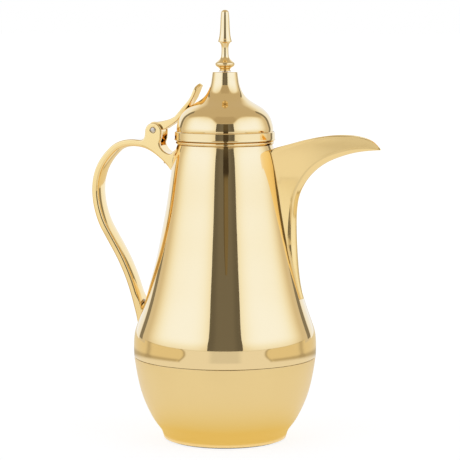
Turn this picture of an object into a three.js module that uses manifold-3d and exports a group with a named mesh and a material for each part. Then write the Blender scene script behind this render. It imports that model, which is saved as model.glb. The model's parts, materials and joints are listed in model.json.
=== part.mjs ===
// Gulf coffee pot (dallah): a vacuum liner in a spun metal body, with a hinged domed lid and a screw-on base.
// Millimetres, +Z up. The origin is the centre of the base pad's underside, on the pot's axis.
// The spout points along +X, the handle along -X, and the lid turns about a line parallel to Y.
import * as THREE from 'three';
import { mergeVertices } from 'three/addons/utils/BufferGeometryUtils.js';
import Module from 'manifold-3d';

const wasm = await Module();
wasm.setup();

// ---------- driving dimensions ----------
const GAP = 0.3;              // air between two pieces that touch
const SHELL = 0.8;            // wall of the spun metal shells
const DATUM = 4.3;            // heights below are measured from this far above the base pad's underside
const SEAM_Z = 58.6;          // where the base unscrews from the upper shell
const NECK_Z = 218.8;         // upper edge of the upper shell
const BAND_Z = 222;           // lower edge of the lid
const DOME_TOP_Z = 273;

const PIN_X = -54;            // lid hinge
const PIN_Z = 229;
const PIN_R = 2.25;
const BARREL_R = 6.2;         // barrel of the lid lever
const NOTCH_R = 5.1;          // barrel where it is cut back to clear the stop
const EAR_R = 6.5;            // rounded top of the handle's ears
const HANDLE_W = 18.5;        // width of the handle along Y
const STRAP_T = 5.8;          // thickness of the handle's strap
const EAR_GAP = 12;           // slot between the two ears
const LEVER_W = EAR_GAP - 2 * GAP;
const TAB_W = 14;             // width of the thumb tab

const SPOUT_WALL = 1.6;
const CHUTE_HALF_W = 5.6;     // outside half-width of the collar's pouring chute
const CHUTE_WALL = 1.0;
const CHUTE_Z = [202, 213.6];

const MOUTH_R = 21;           // bore of the liner's mouth
const LINER_RIM_Z = 199;
const COLLAR_Z = 201;         // underside of the pouring collar
const SEAT_Z = 206;           // ring that the stopper's seal rests on
const STUD_R = 2.0;
const BORE_R = STUD_R + GAP;  // holes that the stud passes through
const GLASS = 1.5;            // walls of the liner and the vacuum between them
const VACUUM = 2.6;

const ROUND = 36;             // segments around the large pieces
const MEDIUM = 20;            // around the liner and what is inside the lid
const SMALL = 12;             // around screws, pins and the stud

// Outer outlines as [radius, height], from the bottom up.
const UPPER_OUTLINE = [
  [68.8, SEAM_Z + GAP], [69.0, 66.5], [68.7, 73.2], [67.9, 78], [66.5, 82.5], [63.3, 91.5], [59.0, 105],
  [55.1, 120], [50.9, 138], [47.4, 156], [44.1, 174], [41.4, 192], [39.3, 206], [37.5, 214], [36.0, NECK_Z],
];
const LOWER_OUTLINE = [
  [46.4, -3.3], [47.1, -0.6], [47.7, 1.2], [49.6, 4.0], [52.5, 8.3], [55.6, 13.3], [60.1, 22.5], [63.5, 31.8],
  [65.8, 41], [67.5, 50.2], [68.7, SEAM_Z],
];
const DOME_OUTLINE = [
  [36.5, 230], [35.8, 234.2], [33.6, 240], [28.2, 246], [21.0, 250.4], [15.2, 255], [11.8, 261],
  [10.4, 266.2], [9.9, 270.0], [9.5, 272.7],
];
const LINER_OUTLINE = [
  [18, 13.5], [36, 18], [49, 29], [57, 43], [60.8, 58], [60.6, 74], [57.2, 91.5], [49.2, 120], [41.7, 156],
  [38.2, 174], [33.2, 187], [28.2, 194],
];

// ---------- helpers ----------
const v2 = ([x, y]) => new THREE.Vector2(x, y);

// A closed geometry as a manifold-3d solid with its faces pointing out.
function solidOf(geometry) {
  const bare = geometry.clone();
  bare.deleteAttribute('normal');
  bare.deleteAttribute('uv');
  const merged = mergeVertices(bare, 1e-4);
  const vertProperties = new Float32Array(merged.attributes.position.array);
  const triVerts = new Uint32Array(merged.index.array);
  const made = new wasm.Manifold(new wasm.Mesh({ numProp: 3, vertProperties, triVerts }));
  if (made.volume() > 0) return made;
  triVerts.reverse();
  return new wasm.Manifold(new wasm.Mesh({ numProp: 3, vertProperties, triVerts }));
}

function geometryOf(solid) {
  const mesh = solid.getMesh();
  const position = new Float32Array(mesh.numVert * 3);
  for (let i = 0; i < mesh.numVert; i++) {
    position.set(mesh.vertProperties.subarray(i * mesh.numProp, i * mesh.numProp + 3), i * 3);
  }
  const geometry = new THREE.BufferGeometry();
  geometry.setAttribute('position', new THREE.BufferAttribute(position, 3));
  geometry.setIndex(new THREE.BufferAttribute(mesh.triVerts, 1));
  geometry.computeVertexNormals();
  return geometry;
}

function smooth(points, count) {
  return new THREE.SplineCurve(points.map(v2)).getPoints(count).map((p) => [p.x, p.y]);
}

// The outline moved to its left by distance, which is inwards for an outline that runs upwards.
function offset(outline, distance) {
  return outline.map((p, i) => {
    const a = outline[Math.max(i - 1, 0)];
    const b = outline[Math.min(i + 1, outline.length - 1)];
    const length = Math.hypot(b[0] - a[0], b[1] - a[1]);
    return [p[0] - ((b[1] - a[1]) / length) * distance, p[1] + ((b[0] - a[0]) / length) * distance];
  });
}

// Turns an outline of [radius, height] points about Z: a ring's outline closes on itself, and
// a disc's starts and ends on the axis.
function disc(outline, segments = ROUND) {
  return solidOf(new THREE.LatheGeometry(outline.map(v2), segments).rotateX(Math.PI / 2));
}
const ring = (outline, segments = ROUND) => disc([...outline, outline[0]], segments);

// A plate with its outline in the XZ plane, width wide along Y and centred on Y = 0.
function plateXZ(shape, width, curveSegments = 10) {
  const geometry = new THREE.ExtrudeGeometry(shape, { depth: width, bevelEnabled: false, curveSegments });
  return solidOf(geometry.rotateX(Math.PI / 2).translate(0, width / 2, 0));
}

// A box between two corners.
function box([x0, y0, z0], [x1, y1, z1]) {
  const geometry = new THREE.BoxGeometry(x1 - x0, y1 - y0, z1 - z0);
  return solidOf(geometry.translate((x0 + x1) / 2, (y0 + y1) / 2, (z0 + z1) / 2));
}

// A cylinder from point a to point b.
function rod(a, b, radius, segments = SMALL) {
  const from = new THREE.Vector3(...a);
  const axis = new THREE.Vector3(...b).sub(from);
  const geometry = new THREE.CylinderGeometry(radius, radius, axis.length(), segments)
    .translate(0, axis.length() / 2, 0)
    .applyQuaternion(new THREE.Quaternion().setFromUnitVectors(new THREE.Vector3(0, 1, 0), axis.normalize()))
    .translate(...a);
  return solidOf(geometry);
}

// A closed skin over a row of sections that all have the same number of points.
function loft(sections) {
  const n = sections[0].length;
  const index = [];
  for (let s = 0; s + 1 < sections.length; s++) {
    for (let i = 0; i < n; i++) {
      const a = s * n + i;
      const b = s * n + ((i + 1) % n);
      index.push(a, b, b + n, a, b + n, a + n);
    }
  }
  const last = (sections.length - 1) * n;
  for (let i = 1; i + 1 < n; i++) index.push(0, i + 1, i, last, last + i, last + i + 1);
  const geometry = new THREE.BufferGeometry();
  geometry.setAttribute('position', new THREE.Float32BufferAttribute(sections.flat(2), 3));
  geometry.setIndex(index);
  return solidOf(geometry);
}

// The value in a column of a table, between the rows whose first column is either side of x.
function lookUp(rows, x, column) {
  const i = Math.min(Math.max(1, rows.findIndex((r) => r[0] >= x)), rows.length - 1);
  const t = THREE.MathUtils.clamp((x - rows[i - 1][0]) / (rows[i][0] - rows[i - 1][0]), 0, 1);
  return THREE.MathUtils.lerp(rows[i - 1][column], rows[i][column], t);
}

const everyOther = (_, i) => i % 2 === 0;

// What is fixed against a shell is trimmed by the shell's solid form, grown by GAP.
const bodyForm = disc([[0, SEAM_Z], ...offset(UPPER_OUTLINE, -GAP), [0, NECK_Z]]);
const domeForm = disc([[0, BAND_Z], [36.6 + GAP, BAND_Z], ...offset(DOME_OUTLINE, -GAP), [0, DOME_TOP_Z]]);

// ---------- screws ----------
// Where a screw's head seats, its unit direction away from the pot's axis, and its sizes.
const outward = (side, degrees) => {
  const angle = THREE.MathUtils.degToRad(degrees);
  return [side * Math.cos(angle), 0, Math.sin(angle)];
};
const BODY_SCREWS = {
  handle_screw_left: { at: [-35.0, -4.4, 205.5], to: outward(-1, 0), length: 11.5, r: 1.8, head: 3.2 },
  handle_screw_right: { at: [-35.0, 4.4, 205.5], to: outward(-1, 0), length: 11.5, r: 1.8, head: 3.2 },
  handle_screw_lower: { at: [-59.0, 0, 96.0], to: outward(-1, 18), length: 7.2, r: 1.4, head: 2.9 },
  spout_screw_upper: { at: [39.4, 0, 190], to: outward(1, 9), length: 9.5, r: 1.4, head: 2.9 },
  spout_screw_lower: { at: [47.7, 0, 143], to: outward(1, 12), length: 5.2, r: 1.4, head: 2.9 },
};
const LEVER_SCREWS = {
  lever_screw_left: { at: [-30.5, -2.9, 240.1], to: outward(-1, 36), length: 4.0, r: 1.1, head: 2.1 },
  lever_screw_right: { at: [-30.5, 2.9, 240.1], to: outward(-1, 36), length: 4.0, r: 1.1, head: 2.1 },
};
const HEAD_T = 1.7;

const move = (p, direction, distance) => p.map((value, i) => value + direction[i] * distance);

function screw({ at, to, length, r, head }) {
  return rod(move(at, to, -HEAD_T), at, head).add(rod(move(at, to, -GAP), move(at, to, length), r));
}

function clearanceHoles(screws) {
  return Object.values(screws)
    .map(({ at, to, length, r }) => rod(move(at, to, -GAP), move(at, to, length + GAP), r + GAP))
    .reduce((all, hole) => all.add(hole));
}
const bodyHoles = clearanceHoles(BODY_SCREWS);
const leverHoles = clearanceHoles(LEVER_SCREWS);
const pinHole = rod([PIN_X, -HANDLE_W, PIN_Z], [PIN_X, HANDLE_W, PIN_Z], PIN_R + GAP, 16);

// ---------- body ----------
function upperShell() {
  const inner = offset(UPPER_OUTLINE, SHELL).filter(everyOther);
  const w = CHUTE_HALF_W + GAP;
  const window = box([30, -w, CHUTE_Z[0] - GAP], [44, w, CHUTE_Z[1] + GAP]);
  return ring([...UPPER_OUTLINE, ...inner.reverse()]).subtract(window).subtract(bodyHoles);
}

// Rounded ring on the shell's upper edge, with a flange over the collar.
function neckBead() {
  const z = NECK_Z + GAP;
  return ring([
    [32.8, z], [36.4, z], [37.0, z + 0.5], [37.2, z + 1.2], [37.0, z + 1.9], [36.4, z + 2.4], [32.8, z + 2.4],
  ]);
}

// Spout, from the tail's lower end to the tip of the beak. A row holds x and z of the keel, x and z of the
// line that the walls reach up to (inside the body along the tail, then the open rim), and half the width.
const SPOUT_STATIONS = [
  [61.2, 104, 53, 103, 2.4], [59.0, 114, 48, 113, 3.9], [57.5, 125, 45, 124, 5.2], [56.3, 141, 42, 142, 6.3],
  [55.7, 157, 38, 160, 6.9], [55.9, 169, 36, 177, 7.2], [57.6, 181, 34, 195, 7.4], [62.2, 191.0, 34, 212.2, 7.5],
  [69.0, 199.3, 47.5, 219.0, 7.4], [78.5, 206.3, 62, 223.0, 7.0], [90, 211.2, 78, 226.0, 6.2],
  [102, 214.4, 95, 226.8, 4.8], [111, 215.6, 107.5, 224.8, 3.2], [116, 216.0, 114.6, 221.3, 2.0],
  [119.2, 216.2, 119.0, 217.0, 0.7],
];
const BEAK_FROM = 7;          // first station of the open beak
const CHANNEL_FLOOR = [       // x and z of the pouring channel's floor
  [30, 201.7], [50, 201.7], [62, 202.2], [70, 204.2], [78.5, 208.4], [90, 213.1], [102, 216.2], [111, 217.4],
  [116, 217.8], [122, 218.0],
];
const CHANNEL_TOP = 232;

// A U of half-width h from the open end at top to the keel at low, both [x, z].
function uSection(low, top, h, steps = 6) {
  const depth = Math.hypot(low[0] - top[0], low[1] - top[1]);
  const bend = Math.min(h, 0.8 * depth);
  const at = (y, d) => [
    top[0] + ((low[0] - top[0]) * d) / depth, y, top[1] + ((low[1] - top[1]) * d) / depth,
  ];
  const section = [at(-h, 0)];
  for (let i = 0; i <= steps; i++) {
    const angle = -Math.PI / 2 + (Math.PI * i) / steps;
    section.push(at(h * Math.sin(angle), depth - bend + bend * Math.cos(angle)));
  }
  section.push(at(h, 0));
  return section;
}

function spout() {
  const outer = loft(SPOUT_STATIONS.map(([kx, kz, rx, rz, h]) => uSection([kx, kz], [rx, rz], h)));
  const rim = SPOUT_STATIONS.slice(BEAK_FROM).map(([, , x, , h]) => [x, h]);
  const tip = SPOUT_STATIONS.at(-1)[0];
  const channel = loft(CHANNEL_FLOOR.map(([x, z]) => {
    const wall = SPOUT_WALL * THREE.MathUtils.clamp((tip + 5 - x) / 40, 0, 1);
    const h = THREE.MathUtils.clamp(lookUp(rim, x, 1) - wall, 0.5, CHUTE_HALF_W + GAP);
    return uSection([x, z], [x, CHANNEL_TOP], h);
  }));
  return outer.subtract(channel).subtract(bodyForm).subtract(bodyHoles);
}

// Handle: the outer line of the strap, seen from the side.
const STRAP_OUTER = [
  [-64.2, 221.3], [-72.3, 221.8], [-80.3, 220.3], [-87.6, 216.2], [-95.8, 207.0], [-100.9, 196.8], [-103.0, 184.5],
  [-101.9, 171.2], [-97.7, 157.3], [-90.3, 143.7], [-82.8, 130.4], [-76.6, 116.6], [-72.0, 103], [-68.3, 89],
  [-66.2, 80.5],
];

function handleShape() {
  const outer = smooth(STRAP_OUTER, 36);
  const inner = offset(outer, STRAP_T).slice(0, -3);
  const shape = new THREE.Shape();
  shape.moveTo(...outer[0]);
  outer.slice(1).forEach((p) => shape.lineTo(...p));
  shape.lineTo(-58, 86);                                   // inside the body, trimmed by it
  inner.reverse().forEach((p) => shape.lineTo(...p));
  shape.quadraticCurveTo(-50.5, 213.4, -38, 196.6);        // underside of the bracket
  shape.lineTo(-33, 199);                                  // inside the neck, trimmed by it
  shape.lineTo(-33, 214.6);
  shape.lineTo(-37.2, 214.2);
  shape.quadraticCurveTo(-39.6, 210.0, -43.0, 211.8);      // dips to the neck
  shape.lineTo(-46.4, 214.2);
  shape.quadraticCurveTo(-49.4, 217.6, -48.6, 220.4);      // front of the ears
  shape.quadraticCurveTo(-47.3, 223.0, PIN_X + 0.2 + EAR_R, PIN_Z - 1);
  shape.absarc(PIN_X + 0.2, PIN_Z - 1, EAR_R, 0, Math.PI, false);
  shape.lineTo(-60.6, 225.2);
  shape.quadraticCurveTo(-61.0, 221.5, ...outer[0]);
  return shape;
}

// The slot between the ears. Behind the barrel its floor rises to form the stop of the open lid.
const STOP_X = PIN_X - 4.3;
const STOP_Z = PIN_Z - 3.4;

function handle() {
  const slot = new THREE.Shape([
    [-70, 245], [-70, STOP_Z], [STOP_X, STOP_Z], [STOP_X, 221.4], [-56, 220.4], [-48.6, 217.4], [-43.4, 212.6],
    [-38.6, 212.2], [-30, 212.6], [-30, 245],
  ].map(v2));
  return plateXZ(handleShape(), HANDLE_W)
    .subtract(plateXZ(slot, EAR_GAP))
    .subtract(pinHole)
    .subtract(bodyForm)
    .subtract(bodyHoles);
}

function hingePin() {
  const end = HANDLE_W / 2 - 0.2;
  return rod([PIN_X, -end, PIN_Z], [PIN_X, end, PIN_Z], PIN_R, 16);
}

// Curved plate between the neck and the heads of the two upper handle screws.
function handleBackingPlate() {
  const face = offset(UPPER_OUTLINE, SHELL + GAP).filter((p) => p[1] > 185);
  const back = offset(UPPER_OUTLINE, SHELL + GAP + 1.2).filter((p) => p[1] > 185);
  return ring([...face, ...back.reverse()])
    .intersect(box([-50, -8.5, 201], [0, 8.5, 210]))
    .subtract(bodyHoles);
}

function handleLowerWasher() {
  const { at, to, r } = BODY_SCREWS.handle_screw_lower;
  return rod(move(at, to, GAP), move(at, to, GAP + 0.8), 4.2)
    .subtract(rod(move(at, to, -1), move(at, to, 3), r + GAP));
}

// Plastic collar: joins the liner's mouth to the neck and leads coffee to the spout.
function pourCollar() {
  const floor = COLLAR_Z + 2;
  const cup = ring([
    [21.6, COLLAR_Z], [32.4, COLLAR_Z], [32.4, 216], [34.6, 216.6], [34.6, NECK_Z], [30.6, NECK_Z],
    [30.6, floor], [23.6, floor], [23.6, SEAT_Z], [21.6, SEAT_Z],
  ]);
  const inside = CHUTE_HALF_W - CHUTE_WALL;
  const neck = disc([[0, 190], ...UPPER_OUTLINE.filter((p) => p[1] > 190), [0, NECK_Z]]);
  const chute = box([31.5, -CHUTE_HALF_W, CHUTE_Z[0]], [44, CHUTE_HALF_W, CHUTE_Z[1]]).intersect(neck);
  const passage = box([26, -inside, floor], [50, inside, CHUTE_Z[1]]);
  const openTop = box([33.5, -inside, floor], [50, inside, 230]);
  return cup.add(chute).subtract(passage.add(openTop.intersect(chute)));
}

function collarGasket() {
  return ring([
    [21.6, LINER_RIM_Z + GAP], [27, LINER_RIM_Z + GAP], [27, COLLAR_Z - GAP], [21.6, COLLAR_Z - GAP],
  ], MEDIUM);
}

// Silvered glass flasks of the vacuum liner, one inside the other.
function linerOuterFlask() {
  const rim = LINER_RIM_Z - 1.5 - GAP;
  const inside = offset(LINER_OUTLINE, GLASS);
  return disc([
    [0, 13], [12, 13], ...LINER_OUTLINE, [26, rim - 0.6], [26, rim], [24.6, rim], ...inside.reverse(), [0, 14.6],
  ], MEDIUM);
}

function linerInnerFlask() {
  const shoulder = (p) => p[1] < 187;
  const outside = offset(LINER_OUTLINE, GLASS + VACUUM).filter(shoulder);
  const inside = offset(LINER_OUTLINE, 2 * GLASS + VACUUM).filter(shoulder);
  return disc([
    [0, 17.6], ...outside, [22.6, 192], [22.6, LINER_RIM_Z - 1.5], [26, LINER_RIM_Z - 1.5], [26, LINER_RIM_Z],
    [MOUTH_R, LINER_RIM_Z], [MOUTH_R, 191], ...inside.reverse(), [0, 19.2],
  ], MEDIUM);
}

// Plastic ring inside the upper shell that the base screws onto.
function couplingRing() {
  return ring([
    [63.8, SEAM_Z - 8], [66.0, SEAM_Z - 8], [66.2, SEAM_Z - 4.2], [66.2, SEAM_Z + 0.8], [67.3, SEAM_Z + 0.8],
    [67.2, SEAM_Z + 10], [63.8, SEAM_Z + 10],
  ]);
}

// ---------- screw-on base ----------
function seamSeal() {
  return ring([
    [66.5, SEAM_Z - 1.6], [67.0, SEAM_Z - 2.0], [67.3, SEAM_Z - 0.4], [67.3, SEAM_Z], [66.5, SEAM_Z],
  ]);
}

function lowerShell() {
  const inside = offset(LOWER_OUTLINE, SHELL).filter(everyOther).filter((p) => p[1] > 3);
  return ring([
    ...LOWER_OUTLINE, ...inside.reverse(), [47.0, 1.6], [41.5, 1.6], [41.5, -0.3], [45.3, -0.3], [45.5, -3.3],
  ]);
}

const basePlate = () => disc([
  [0, 1.9], [45.6, 1.9], [46.4, 2.7], [46.4, 3.7], [42, 3.1], [0, 3.1],
]);

const basePad = () => disc([
  [0, -4.3], [43.6, -4.3], [44.4, -3.5], [44.6, -0.6], [41.2, -0.6], [41.2, 1.6], [0, 1.6],
]);

// Rubber cup that carries the liner's bottom.
function linerCushion() {
  const top = offset(LINER_OUTLINE, -GAP).filter(([r, z]) => r < 45 && z < 30);
  return ring([[14, 3.4], [30, 3.4], [38, 9.5], ...top.reverse(), [14, 12.6]], MEDIUM);
}

// ---------- lid ----------
function lidDome() {
  const outer = [[36.2, BAND_Z + 1.2], [36.3, BAND_Z + 6], ...DOME_OUTLINE];
  const inner = offset(outer, SHELL).filter(everyOther).filter((p) => p[1] < DOME_TOP_Z - 2);
  return ring([
    ...outer, [9.1, DOME_TOP_Z], [BORE_R, DOME_TOP_Z], [BORE_R, DOME_TOP_Z - SHELL], [7.6, DOME_TOP_Z - SHELL],
    ...inner.reverse(),
  ]).subtract(leverHoles);
}

const lidBand = () => ring([
  [35.2, BAND_Z], [37.9, BAND_Z], [38.2, BAND_Z + 0.6], [37.9, BAND_Z + 1.3], [37.8, BAND_Z + 6.0],
  [37.4, BAND_Z + 6.5], [36.7, BAND_Z + 6.5], [36.6, BAND_Z + 0.9], [35.2, BAND_Z + 0.9],
]);

// Turned finial as [radius, height above the dome]; the stud screws up into it.
const FINIAL = [
  [4.6, 0.3], [4.6, 0.7], [3.8, 1.5], [4.3, 2.5], [5.6, 3.5], [6.9, 4.4], [7.35, 5.2], [7.4, 6.0], [7.1, 6.8],
  [6.3, 7.5], [4.7, 8.8], [3.4, 10.4], [2.85, 12.5], [2.7, 15.2], [2.75, 18.4], [3.3, 20.6], [4.0, 21.7],
  [5.15, 22.2], [5.2, 22.7], [5.0, 23.7], [2.95, 43.6], [2.6, 44.9], [1.6, 45.8], [0, 46.1],
];
const STUD_TOP = 7.4;

const finial = () => disc([[0, STUD_TOP + 0.4], [BORE_R, STUD_TOP + 0.4], [BORE_R, 0.3], ...FINIAL]
  .map(([r, h]) => [r, DOME_TOP_Z + h]), MEDIUM);

const finialStud = () => rod([0, 0, COLLAR_Z], [0, 0, DOME_TOP_Z + STUD_TOP], STUD_R);

function finialNut() {
  return rod([0, 0, 267], [0, 0, 270.2], 4, 6).subtract(rod([0, 0, 266], [0, 0, 271], BORE_R));
}

const finialWasher = () => ring([[BORE_R, 270.5], [5.5, 270.5], [5.5, 271.7], [BORE_R, 271.7]], SMALL);

// Domed nut under the stopper, closed at its lower end.
const stopperNut = () => disc([
  [0, 199.6], [2.4, 200.2], [4.2, 202], [4.2, 204.2], [BORE_R, 204.2], [BORE_R, 200.7], [0, 200.7],
], 12);

// Thumb lever seen from the side: the arm from the barrel to the dome's shoulder, then the tab.
const LEVER_ARM = [[-52, 234.9], [-45.3, 236.3], [-41.5, 237.5], [-37.9, 239.3]];
const LEVER_TAB = [
  [-34.7, 242.9], [-31.7, 246.3], [-27.6, 250.8], [-25.0, 254.6], [-23.4, 258.4], [-21.8, 261.6], [-19.4, 264.4],
];
const LEVER_UNDER = [
  [-17.2, 263.4], [-19.6, 260.6], [-21.0, 257.4], [-22.7, 253.6], [-25.0, 250.0], [-28.8, 245.6], [-30, 240],
  [-36.5, 236.2], [-41.2, 232.8], [-45.3, 229.9], [-49, 227.4],
];

function lidLever() {
  const tab = smooth([LEVER_ARM.at(-1), ...LEVER_TAB], 12);
  const side = new THREE.Shape([...LEVER_ARM, ...tab.slice(1), ...LEVER_UNDER].map(v2));
  const plan = new THREE.Shape();                          // seen from above: the arm, then the rounded tab
  plan.moveTo(-60, -LEVER_W / 2);
  plan.lineTo(-38, -LEVER_W / 2);
  plan.bezierCurveTo(-33, -LEVER_W / 2, -30, -TAB_W / 2, -25, -TAB_W / 2);
  plan.bezierCurveTo(-20.5, -TAB_W / 2, -17, -5, -17, 0);
  plan.bezierCurveTo(-17, 5, -20.5, TAB_W / 2, -25, TAB_W / 2);
  plan.bezierCurveTo(-30, TAB_W / 2, -33, LEVER_W / 2, -38, LEVER_W / 2);
  plan.lineTo(-60, LEVER_W / 2);
  const planSolid = solidOf(
    new THREE.ExtrudeGeometry(plan, { depth: 60, bevelEnabled: false, curveSegments: 5 }).translate(0, 0, 215),
  );
  return plateXZ(side, TAB_W + 2).intersect(planSolid)
    .add(barrel())
    .subtract(pinHole)
    .subtract(domeForm)
    .subtract(leverHoles);
}

// The barrel's back is cut to NOTCH_R. The upper end of the cut meets the stop when the lid is fully open.
const NOTCH_FROM = 115;
const NOTCH_TO = 232;

function barrel() {
  const shape = new THREE.Shape();
  const rad = THREE.MathUtils.degToRad;
  shape.absarc(PIN_X, PIN_Z, NOTCH_R, rad(NOTCH_FROM), rad(NOTCH_TO), false);
  shape.absarc(PIN_X, PIN_Z, BARREL_R, rad(NOTCH_TO), rad(360 + NOTCH_FROM), false);
  return plateXZ(shape, LEVER_W, 9);
}

// Foam in the dome and the hollow stopper.
const lidInsulation = () => ring([
  [2.6, 211], [21.8, 211], [25.6, 221], [30.2, 226], [29.0, 234], [25.0, 240], [19, 245], [12, 250.5], [8.5, 257],
  [6.5, 264], [2.6, 264],
], MEDIUM);

// Hollow plastic stopper that closes the lid from below.
const stopperPlug = () => ring([
  [BORE_R, 208.6], [23.2, 208.6], [24.4, 210], [28.6, 221.4], [34.7, 223.4], [34.7, 225.2], [31, 225.2],
  [26.4, 220.8], [22.4, 210.6], [BORE_R, 210.6],
], MEDIUM);

const stopperSeal = () => ring([
  [5, SEAT_Z + GAP], [24.6, SEAT_Z + GAP], [25.2, SEAT_Z + 0.8], [24.6, SEAT_Z + 2.3], [5, SEAT_Z + 2.3],
], MEDIUM);

const sealRetainer = () => ring([
  [BORE_R, 204.5], [16.6, 204.5], [17.6, 205.3], [17.6, 206.0], [4.7, 206.0], [4.7, 208.3], [BORE_R, 208.3],
], MEDIUM);

// ---------- materials and assembly ----------
const metal = (color, roughness) => new THREE.MeshStandardMaterial({ color, roughness, metalness: 1 });
const plain = (color, roughness) => new THREE.MeshStandardMaterial({ color, roughness, metalness: 0 });
const MATERIALS = {
  polished_gold: metal(0xf0cf85, 0.06),
  satin_gold: metal(0xe9c878, 0.34),
  steel: metal(0xc9c9c6, 0.25),
  silvered_glass: metal(0xd9dde0, 0.05),
  white_plastic: plain(0xe9e6df, 0.45),
  silicone: plain(0xb8b4aa, 0.6),
  black_rubber: plain(0x1d1d1f, 0.75),
  foam: plain(0xf4f2ec, 0.9),
};

const PIECES = {
  polished_gold: {
    upper_shell: upperShell(), neck_bead: neckBead(), spout: spout(), handle: handle(), lid_dome: lidDome(),
    lid_band: lidBand(), finial: finial(), lid_lever: lidLever(),
  },
  satin_gold: { lower_shell: lowerShell() },
  steel: {
    hinge_pin: hingePin(), handle_backing_plate: handleBackingPlate(), handle_lower_washer: handleLowerWasher(),
    base_plate: basePlate(), finial_stud: finialStud(), finial_nut: finialNut(), finial_washer: finialWasher(),
    stopper_nut: stopperNut(),
  },
  silvered_glass: { liner_outer_flask: linerOuterFlask(), liner_inner_flask: linerInnerFlask() },
  white_plastic: {
    pour_collar: pourCollar(), coupling_ring: couplingRing(), stopper_plug: stopperPlug(),
    seal_retainer: sealRetainer(),
  },
  silicone: { collar_gasket: collarGasket(), stopper_seal: stopperSeal(), seam_seal: seamSeal() },
  black_rubber: { base_pad: basePad(), liner_cushion: linerCushion() },
  foam: { lid_insulation: lidInsulation() },
};
for (const [name, sizes] of Object.entries({ ...BODY_SCREWS, ...LEVER_SCREWS })) {
  PIECES.steel[name] = screw(sizes);
}

const dallah = new THREE.Group();
for (const [material, pieces] of Object.entries(PIECES)) {
  for (const [name, solid] of Object.entries(pieces)) {
    const mesh = new THREE.Mesh(geometryOf(solid).translate(0, 0, DATUM), MATERIALS[material]);
    mesh.name = name;
    dallah.add(mesh);
  }
}

export default dallah;
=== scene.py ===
"""Looks of the dallah: fine metal surfaces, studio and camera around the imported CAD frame. Metres."""
import json
import math

import bmesh
import bpy
import numpy as np
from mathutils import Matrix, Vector

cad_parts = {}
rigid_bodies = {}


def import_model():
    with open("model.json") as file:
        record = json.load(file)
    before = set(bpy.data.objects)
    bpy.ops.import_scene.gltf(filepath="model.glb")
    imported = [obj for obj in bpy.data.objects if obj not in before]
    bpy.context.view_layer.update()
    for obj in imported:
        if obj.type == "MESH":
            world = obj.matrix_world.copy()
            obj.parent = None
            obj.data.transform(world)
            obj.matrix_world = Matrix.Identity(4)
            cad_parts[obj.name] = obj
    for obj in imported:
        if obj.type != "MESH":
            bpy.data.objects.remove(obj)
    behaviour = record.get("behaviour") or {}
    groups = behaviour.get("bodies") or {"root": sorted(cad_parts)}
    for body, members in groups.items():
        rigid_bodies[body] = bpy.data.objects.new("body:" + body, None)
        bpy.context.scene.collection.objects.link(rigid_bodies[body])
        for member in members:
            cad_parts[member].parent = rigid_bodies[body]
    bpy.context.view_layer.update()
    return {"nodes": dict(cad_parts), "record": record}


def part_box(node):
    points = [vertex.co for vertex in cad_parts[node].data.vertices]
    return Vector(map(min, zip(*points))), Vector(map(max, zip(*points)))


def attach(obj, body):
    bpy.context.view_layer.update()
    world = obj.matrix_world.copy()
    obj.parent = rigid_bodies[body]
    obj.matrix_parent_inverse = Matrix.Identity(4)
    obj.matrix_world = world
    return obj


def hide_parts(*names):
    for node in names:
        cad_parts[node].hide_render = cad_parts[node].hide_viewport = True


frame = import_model()
NODES = frame["nodes"]
SLOT_OF = {row["node"]: row["material_slot"] for row in frame["record"]["subparts"]}
BODY_OF = {n: body for body, names in frame["record"]["behaviour"]["bodies"].items() for n in names}
MM = 0.001
DATUM = 4.3                   # millimetres; the tables' heights start this far above the base pad's underside


# ---------------------------------------------------------------- outlines
def natural_cubic(points, lengths):
    """The natural cubic curve through points this far apart, as a function of distance, and its length."""
    knots = np.concatenate([[0], np.cumsum(lengths)])
    n = len(points)
    a = np.eye(n)
    b = np.zeros_like(points)
    for i in range(1, n - 1):
        a[i, i - 1:i + 2] = lengths[i - 1], 2 * (lengths[i - 1] + lengths[i]), lengths[i]
        b[i] = 6 * ((points[i + 1] - points[i]) / lengths[i] - (points[i] - points[i - 1]) / lengths[i - 1])
    m = np.linalg.solve(a, b)

    def at(t):
        i = np.clip(np.searchsorted(knots, t, side="right") - 1, 0, n - 2)
        u = (t - knots[i])[:, None]
        h = lengths[i][:, None]
        slope = (points[i + 1] - points[i]) / h - h * (2 * m[i] + m[i + 1]) / 6
        return points[i] + u * slope + u**2 * m[i] / 2 + u**3 * (m[i + 1] - m[i]) / (6 * h)

    return at, knots[-1]


def gaps(points):
    """The distance from each point to the next."""
    return np.linalg.norm(np.diff(points, axis=0), axis=1)


def spline(points, step):
    """Natural cubic curve through the points, with a point about every step."""
    points = np.asarray(points, float)
    lengths = gaps(points)
    if len(points) < 3:
        count = max(2, int(lengths[0] / (4 * step)) + 1)
        return [tuple(p) for p in np.linspace(points[0], points[1], count)]
    curve, end = natural_cubic(points, lengths)
    return [tuple(p) for p in curve(np.linspace(0, end, max(2, int(round(end / step)) + 1)))]


def turn_at(a, b, c):
    """Angle in degrees by which the line a-b-c bends at b."""
    u, v = np.subtract(b, a), np.subtract(c, b)
    cosine = np.dot(u, v) / (np.linalg.norm(u) * np.linalg.norm(v) + 1e-15)
    return math.degrees(math.acos(max(-1.0, min(1.0, cosine))))


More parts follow.
